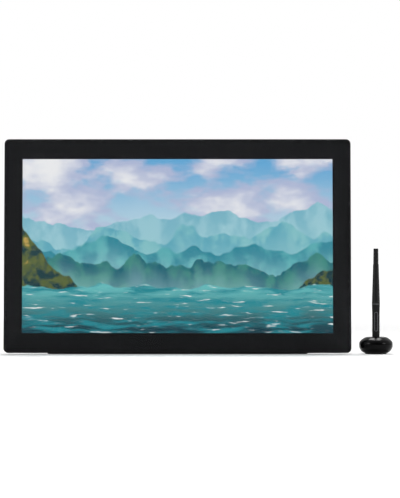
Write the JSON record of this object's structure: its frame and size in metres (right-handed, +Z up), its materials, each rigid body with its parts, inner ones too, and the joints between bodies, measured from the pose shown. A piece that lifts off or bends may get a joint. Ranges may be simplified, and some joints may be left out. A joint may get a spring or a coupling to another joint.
{
  "type": "graphics tablet with screen",
  "caption": "Pen display standing on a folding rear leg, with a pen standing in a round holder beside it.",
  "frame": {"origin": "middle of the foot strip under the display, on the desk", "axes": "+X to the right along the display, -Y towards the user, +Z up from the desk"},
  "size_m": [0.6594, 0.2062, 0.3648],
  "materials": {
    "etched_glass": "fine etched, satin",
    "border_ink": "black print under glass",
    "clear_bond": "clear",
    "tape": "black foam tape",
    "screen": "lit picture behind glass",
    "films": "milky film",
    "light_guide": "clear sheet",
    "inner_plastic": "moulded",
    "tray_metal": "white coated",
    "circuit_board": "green solder mask",
    "shield": "sheet",
    "case_plastic": "fine textured black",
    "cover_metal": "black, fine blasted",
    "steel": "plated",
    "black_screw": "black oxide",
    "insert_brass": "turned",
    "foot_rubber": "matte rubber",
    "socket_metal": "nickel plated shell",
    "ribbon": "flat cable",
    "leg_metal": "black anodised",
    "key_plastic": "satin black",
    "holder_gloss": "polished black",
    "pen_plastic": "satin black",
    "grip_rubber": "soft touch black",
    "pen_gloss": "polished black",
    "pen_trim": "dark grey trim",
    "nib_plastic": "acetal",
    "ferrite": "ferrite and enamelled wire"
  },
  "bodies": {
    "display": {"cover_glass": "etched_glass", "printed_border": "border_ink", "glass_tape": "tape", "optical_bond": "clear_bond", "lcd_cell": "screen", "prism_film": "films", "diffuser_film": "films", "light_guide": "light_guide", "led_strip": "circuit_board", "panel_frame": "inner_plastic", "backlight_tray": "tray_metal", "pen_sensor_board": "circuit_board", "sensor_shield": "shield", "front_frame": "case_plastic", "chassis_plate": "shield", "chassis_screws": "steel", "rear_cover": "cover_metal", "cover_screws": "black_screw", "vesa_inserts": "insert_brass", "bottom_foot": "foot_rubber", "rear_pads": "foot_rubber", "main_board": "circuit_board", "panel_driver_board": "circuit_board", "key_board": "circuit_board", "board_screws": "steel", "panel_ribbon": "ribbon", "key_ribbon": "ribbon", "power_socket": "inner_plastic", "hdmi_socket": "socket_metal", "usb_c_sockets": "socket_metal", "left_hinge_bracket": "steel", "right_hinge_bracket": "steel", "bracket_screws": "black_screw", "hinge_pins": "steel", "hinge_washers": "steel"},
    "rear_leg": {"rear_leg": "leg_metal", "leg_foot": "foot_rubber"},
    "power_button": {"power_button": "key_plastic"},
    "menu_button": {"menu_button": "key_plastic"},
    "brightness_up_button": {"brightness_up_button": "key_plastic"},
    "brightness_down_button": {"brightness_down_button": "key_plastic"},
    "pen_holder": {"holder_base": "holder_gloss", "holder_foot_pad": "foot_rubber", "holder_weight": "steel", "nib_tray": "inner_plastic", "spare_nibs": "nib_plastic"},
    "holder_lid": {"holder_lid": "holder_gloss"},
    "pen": {"pen_nose_cone": "pen_plastic", "pen_coil": "ferrite", "pen_core": "pen_plastic", "pen_grip": "grip_rubber", "pen_ring": "pen_trim", "pen_barrel": "pen_plastic", "pen_tail_cap": "pen_plastic", "pen_pressure_sensor": "inner_plastic", "pen_circuit_board": "circuit_board", "pen_button_bezel": "pen_trim"},
    "pen_nib": {"pen_nib": "nib_plastic"},
    "pen_lower_button": {"pen_lower_button": "pen_gloss"},
    "pen_upper_button": {"pen_upper_button": "pen_gloss"}
  },
  "joints": [
    {"name": "leg_hinge", "type": "hinge", "parent": "display", "child": "rear_leg", "pos_m": [0, 0.01476, 0.12624], "axis": [1, 0, 0], "range_deg": [0, 122.75]},
    {"name": "brightness_down_press", "type": "slide", "parent": "display", "child": "brightness_down_button", "axis": [0, -0.9962, 0.0872], "range_m": [0, 0.0008], "stiffness_N_per_m": 1500},
    {"name": "brightness_up_press", "type": "slide", "parent": "display", "child": "brightness_up_button", "axis": [0, -0.9962, 0.0872], "range_m": [0, 0.0008], "stiffness_N_per_m": 1500},
    {"name": "menu_press", "type": "slide", "parent": "display", "child": "menu_button", "axis": [0, -0.9962, 0.0872], "range_m": [0, 0.0008], "stiffness_N_per_m": 1500},
    {"name": "power_press", "type": "slide", "parent": "display", "child": "power_button", "axis": [0, -0.9962, 0.0872], "range_m": [0, 0.0008], "stiffness_N_per_m": 1500},
    {"name": "holder_lift", "type": "slide", "parent": "display", "child": "pen_holder", "axis": [0, 0, 1], "range_m": [0, 0.05]},
    {"name": "lid_lift", "type": "slide", "parent": "pen_holder", "child": "holder_lid", "axis": [0, 0, 1], "range_m": [0, 0.03]},
    {"name": "pen_lift", "type": "slide", "parent": "holder_lid", "child": "pen", "axis": [0, 0, 1], "range_m": [0, 0.06]},
    {"name": "nib_press", "type": "slide", "parent": "pen", "child": "pen_nib", "axis": [0, 0, 1], "range_m": [0, 0.0005], "stiffness_N_per_m": 3000},
    {"name": "pen_lower_press", "type": "slide", "parent": "pen", "child": "pen_lower_button", "axis": [0, 1, 0], "range_m": [0, 0.0004], "stiffness_N_per_m": 2500},
    {"name": "pen_upper_press", "type": "slide", "parent": "pen", "child": "pen_upper_button", "axis": [0, 1, 0], "range_m": [0, 0.0004], "stiffness_N_per_m": 2500}
  ]
}
